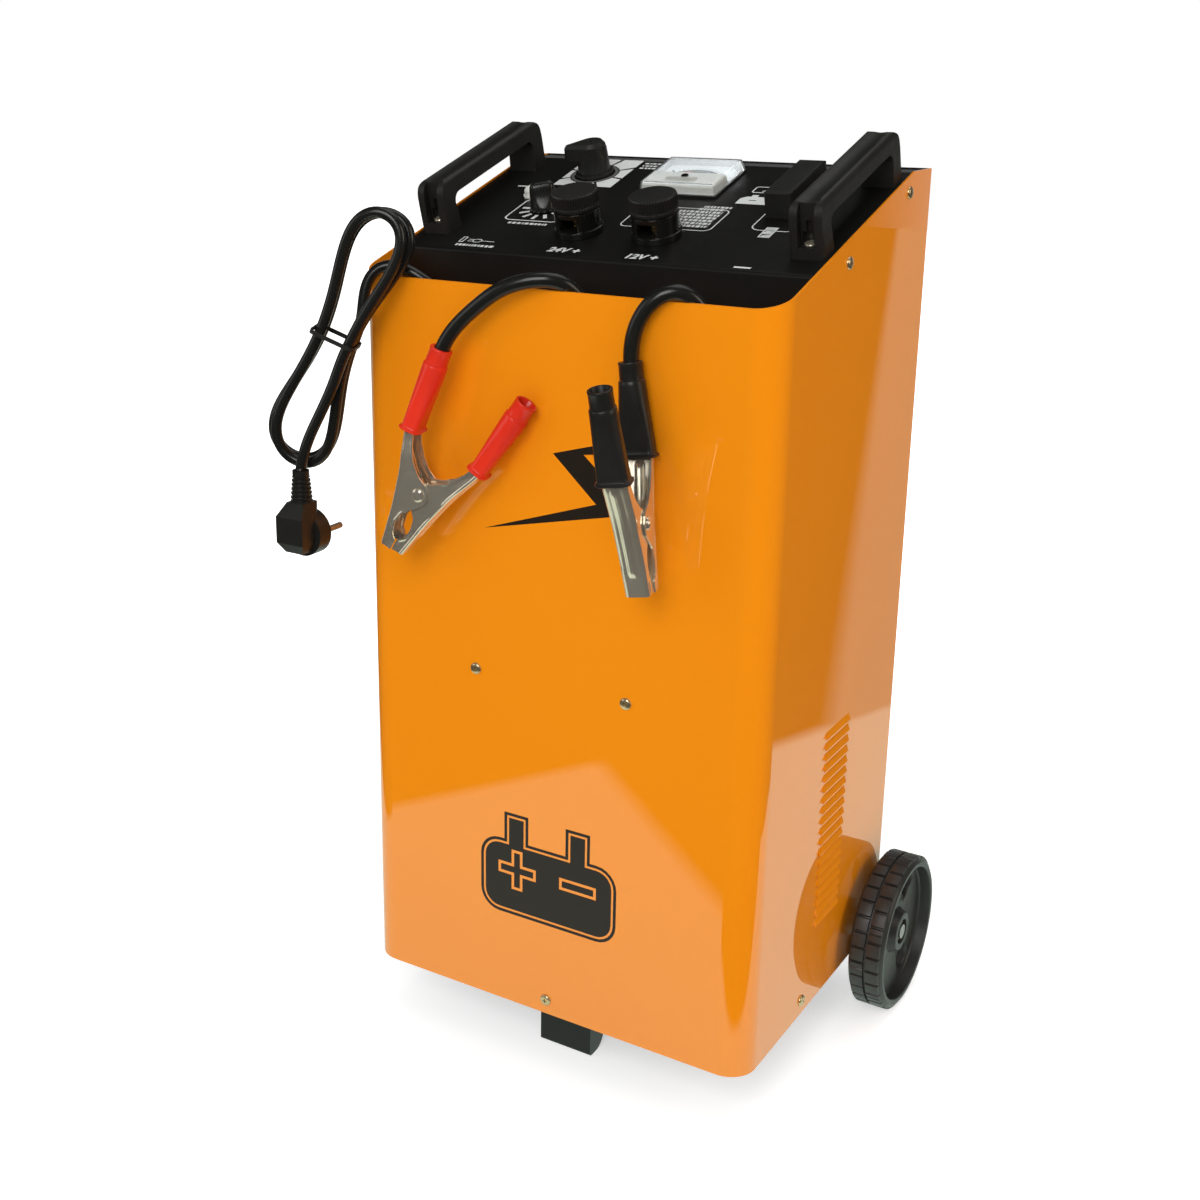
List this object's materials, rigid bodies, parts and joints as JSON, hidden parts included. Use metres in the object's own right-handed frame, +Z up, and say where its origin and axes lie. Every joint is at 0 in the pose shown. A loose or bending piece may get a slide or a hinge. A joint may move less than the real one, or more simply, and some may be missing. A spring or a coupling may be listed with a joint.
{
  "type": "car battery charger",
  "caption": "Wheeled battery charger and starter: folded steel housing with a sloped control panel, cable bin, two wheels, front foot, mains plug and two lead clamps.",
  "frame": {"origin": "on the floor, half way between the front screw heads and the back of the wheels, in the middle of the width", "axes": "+Z up, front towards -Y, +X to the right when looking along +Y"},
  "size_m": [0.4302, 0.3965, 0.7155],
  "materials": {
    "orange_paint": "smooth gloss powder coat",
    "black_paint": "semi-matt powder coat",
    "handle_plastic": "moulded, fine grain, satin",
    "knob_plastic": "moulded, satin",
    "switch_plastic": "moulded, matt",
    "zinc_steel": "zinc plated",
    "clear_plastic": "clear, glossy",
    "brass": "machined",
    "dial_card": "printed card",
    "pointer_paint": "satin",
    "wheel_rubber": "moulded, matt",
    "core_steel": "varnished laminations",
    "copper": "enamelled wire under varnish",
    "aluminium": "extruded",
    "cord_rubber": "smooth, satin",
    "plug_plastic": "moulded",
    "nickel": "nickel plated",
    "lead_rubber": "smooth, satin",
    "clamp_zinc": "pressed and zinc plated",
    "red_vinyl": "soft vinyl, satin gloss",
    "black_vinyl": "soft vinyl, satin"
  },
  "bodies": {
    "root": {"housing_wrap": "orange_paint", "rear_cover": "black_paint", "base_plate": "black_paint", "front_foot": "black_paint", "control_panel": "black_paint", "cable_bin": "black_paint", "left_handle": "handle_plastic", "right_handle": "handle_plastic", "handle_screws": "zinc_steel", "selector_switch": "switch_plastic", "start_switch": "switch_plastic", "pilot_lamp": "clear_plastic", "terminal_bases": "knob_plastic", "terminal_studs": "brass", "meter_case": "knob_plastic", "meter_dial": "dial_card", "meter_cover": "clear_plastic", "fuse_base": "knob_plastic", "fuse_link": "zinc_steel", "axle": "zinc_steel", "axle_spacers": "zinc_steel", "axle_clips": "zinc_steel", "transformer_core": "core_steel", "primary_winding": "copper", "secondary_winding": "copper", "transformer_brackets": "zinc_steel", "rectifier_plate": "aluminium", "rectifier_diodes": "brass", "thermal_cutout": "switch_plastic", "mains_gland": "cord_rubber", "negative_gland": "cord_rubber", "case_screws": "zinc_steel", "mains_lead": "cord_rubber", "mains_hank": "cord_rubber", "hank_tie": "cord_rubber", "mains_plug": "plug_plastic", "plug_pins": "nickel", "red_lead": "lead_rubber", "red_coil": "lead_rubber", "red_lug": "nickel", "black_lead": "lead_rubber", "black_coil": "lead_rubber", "red_clamp_frame": "clamp_zinc", "red_frame_sleeve": "red_vinyl", "black_clamp_frame": "clamp_zinc", "black_frame_sleeve": "black_vinyl", "clamp_rivets": "clamp_zinc", "clamp_springs": "clamp_zinc"},
    "left_wheel": {"left_wheel": "wheel_rubber"},
    "right_wheel": {"right_wheel": "wheel_rubber"},
    "selector": {"selector_knob": "knob_plastic"},
    "start": {"start_knob": "knob_plastic"},
    "cap_24v": {"terminal_cap_24v": "knob_plastic"},
    "cap_12v": {"terminal_cap_12v": "knob_plastic"},
    "needle": {"meter_pointer": "pointer_paint"},
    "fuse_lid": {"fuse_cover": "knob_plastic"},
    "red_jaw": {"red_clamp_jaw": "clamp_zinc", "red_jaw_sleeve": "red_vinyl"},
    "black_jaw": {"black_clamp_jaw": "clamp_zinc", "black_jaw_sleeve": "black_vinyl"}
  },
  "joints": [
    {"name": "left_wheel_spin", "type": "hinge", "parent": "root", "child": "left_wheel", "pos_m": [-0.192, 0.0901, 0.065], "axis": [1, 0, 0], "continuous": true},
    {"name": "right_wheel_spin", "type": "hinge", "parent": "root", "child": "right_wheel", "pos_m": [0.192, 0.0901, 0.065], "axis": [1, 0, 0], "continuous": true},
    {"name": "selector_turn", "type": "hinge", "parent": "root", "child": "selector", "pos_m": [-0.084, 0.04862, 0.68585], "axis": [0, -0.2957, 0.9553], "range_deg": [-30, 150]},
    {"name": "start_turn", "type": "hinge", "parent": "root", "child": "start", "pos_m": [-0.087, -0.02302, 0.66367], "axis": [0, -0.2957, 0.9553], "range_deg": [-90, 0]},
    {"name": "cap_24v_turn", "type": "hinge", "parent": "root", "child": "cap_24v", "pos_m": [-0.036, -0.06185, 0.66736], "axis": [0, -0.2957, 0.9553], "continuous": true},
    {"name": "cap_12v_turn", "type": "hinge", "parent": "root", "child": "cap_12v", "pos_m": [0.028, -0.06185, 0.66736], "axis": [0, -0.2957, 0.9553], "continuous": true},
    {"name": "needle_swing", "type": "hinge", "parent": "root", "child": "needle", "pos_m": [0.0075, 0.02908, 0.67457], "axis": [0, -0.2957, 0.9553], "range_deg": [-90, 0], "stiffness_Nm_per_rad": 0.0002},
    {"name": "fuse_cover_lift", "type": "slide", "parent": "root", "child": "fuse_lid", "axis": [0, -0.2957, 0.9553], "range_m": [0, 0.03]},
    {"name": "red_clamp_squeeze", "type": "hinge", "parent": "root", "child": "red_jaw", "pos_m": [-0.0921, -0.178, 0.4644], "axis": [0.1874, -0.9823, 0], "range_deg": [0, 24], "stiffness_Nm_per_rad": 2, "springref_deg": -28.65},
    {"name": "black_clamp_squeeze", "type": "hinge", "parent": "root", "child": "black_jaw", "pos_m": [0.0852, -0.189, 0.4715], "axis": [-0.9677, -0.2209, -0.1216], "range_deg": [0, 24], "stiffness_Nm_per_rad": 2, "springref_deg": -28.65}
  ]
}
